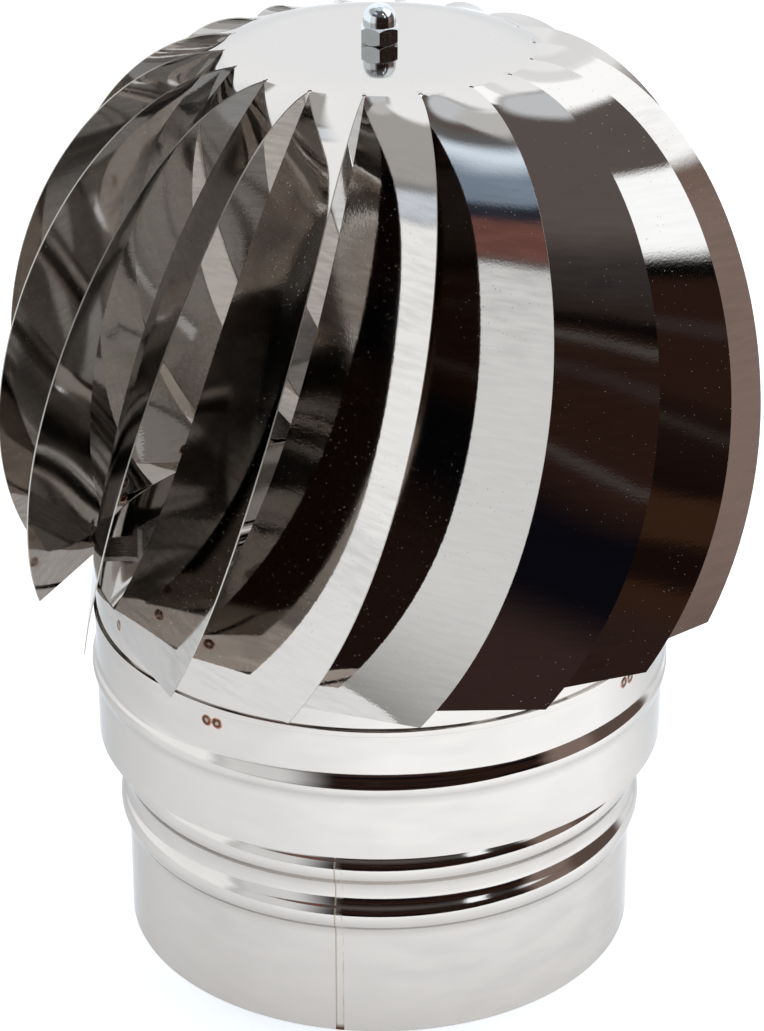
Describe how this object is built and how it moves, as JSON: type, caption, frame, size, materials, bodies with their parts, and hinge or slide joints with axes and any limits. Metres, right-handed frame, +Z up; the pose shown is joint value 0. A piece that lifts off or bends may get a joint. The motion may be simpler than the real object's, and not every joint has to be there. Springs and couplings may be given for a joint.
{
  "type": "rotating chimney cowl",
  "caption": "Wind-driven rotating chimney cowl: a globe of twisted sheet-steel blades on a beaded collar, spinning on bearings over a round flue pipe stub.",
  "frame": {"origin": "centre of the flue pipe's lower edge", "axes": "+Z up along the spin axis, -Y towards the front of the picture"},
  "size_m": [0.2838, 0.2866, 0.372],
  "materials": {
    "polished_stainless": "mirror-polished stainless sheet",
    "stainless_strip": "mill-finish stainless strip",
    "zinc_steel": "bright zinc plated",
    "bearing_steel": "ground bearing steel",
    "spring_steel": "black oxide",
    "cage_plastic": "moulded"
  },
  "bodies": {
    "base": {"flue_pipe": "polished_stainless", "upper_carrier": "stainless_strip", "lower_carrier": "stainless_strip", "bearing_housing": "stainless_strip", "circlips": "spring_steel", "upper_outer_ring": "bearing_steel", "upper_shields": "bearing_steel", "lower_outer_ring": "bearing_steel", "lower_shields": "bearing_steel"},
    "rotor": {"rotor_head": "polished_stainless", "skirt": "polished_stainless", "blade_ring": "polished_stainless", "shaft": "zinc_steel", "dome_nut": "zinc_steel", "disc_washer": "zinc_steel", "disc_nut": "zinc_steel", "rotor_cross": "stainless_strip", "cross_washers": "zinc_steel", "cross_nuts": "zinc_steel", "stop_washer": "zinc_steel", "stop_nut": "zinc_steel", "lock_washer": "zinc_steel", "lock_nut": "zinc_steel", "spacer_sleeve": "zinc_steel", "upper_inner_ring": "bearing_steel", "lower_inner_ring": "bearing_steel"},
    "upper_ball_cage": {"upper_cage": "cage_plastic", "upper_balls": "bearing_steel"},
    "lower_ball_cage": {"lower_cage": "cage_plastic", "lower_balls": "bearing_steel"}
  },
  "joints": [
    {"name": "rotor_spin", "type": "hinge", "parent": "base", "child": "rotor", "pos_m": [0, 0, 0.0835], "axis": [0, 0, 1], "continuous": true},
    {"name": "upper_cage_spin", "type": "hinge", "parent": "base", "child": "upper_ball_cage", "pos_m": [0, 0, 0.1015], "axis": [0, 0, 1], "continuous": true},
    {"name": "lower_cage_spin", "type": "hinge", "parent": "base", "child": "lower_ball_cage", "pos_m": [0, 0, 0.0658], "axis": [0, 0, 1], "continuous": true}
  ],
  "couplings": [
    {"joint": "upper_cage_spin", "follows": "rotor_spin", "ratio": 0.3677},
    {"joint": "lower_cage_spin", "follows": "rotor_spin", "ratio": 0.3677}
  ]
}
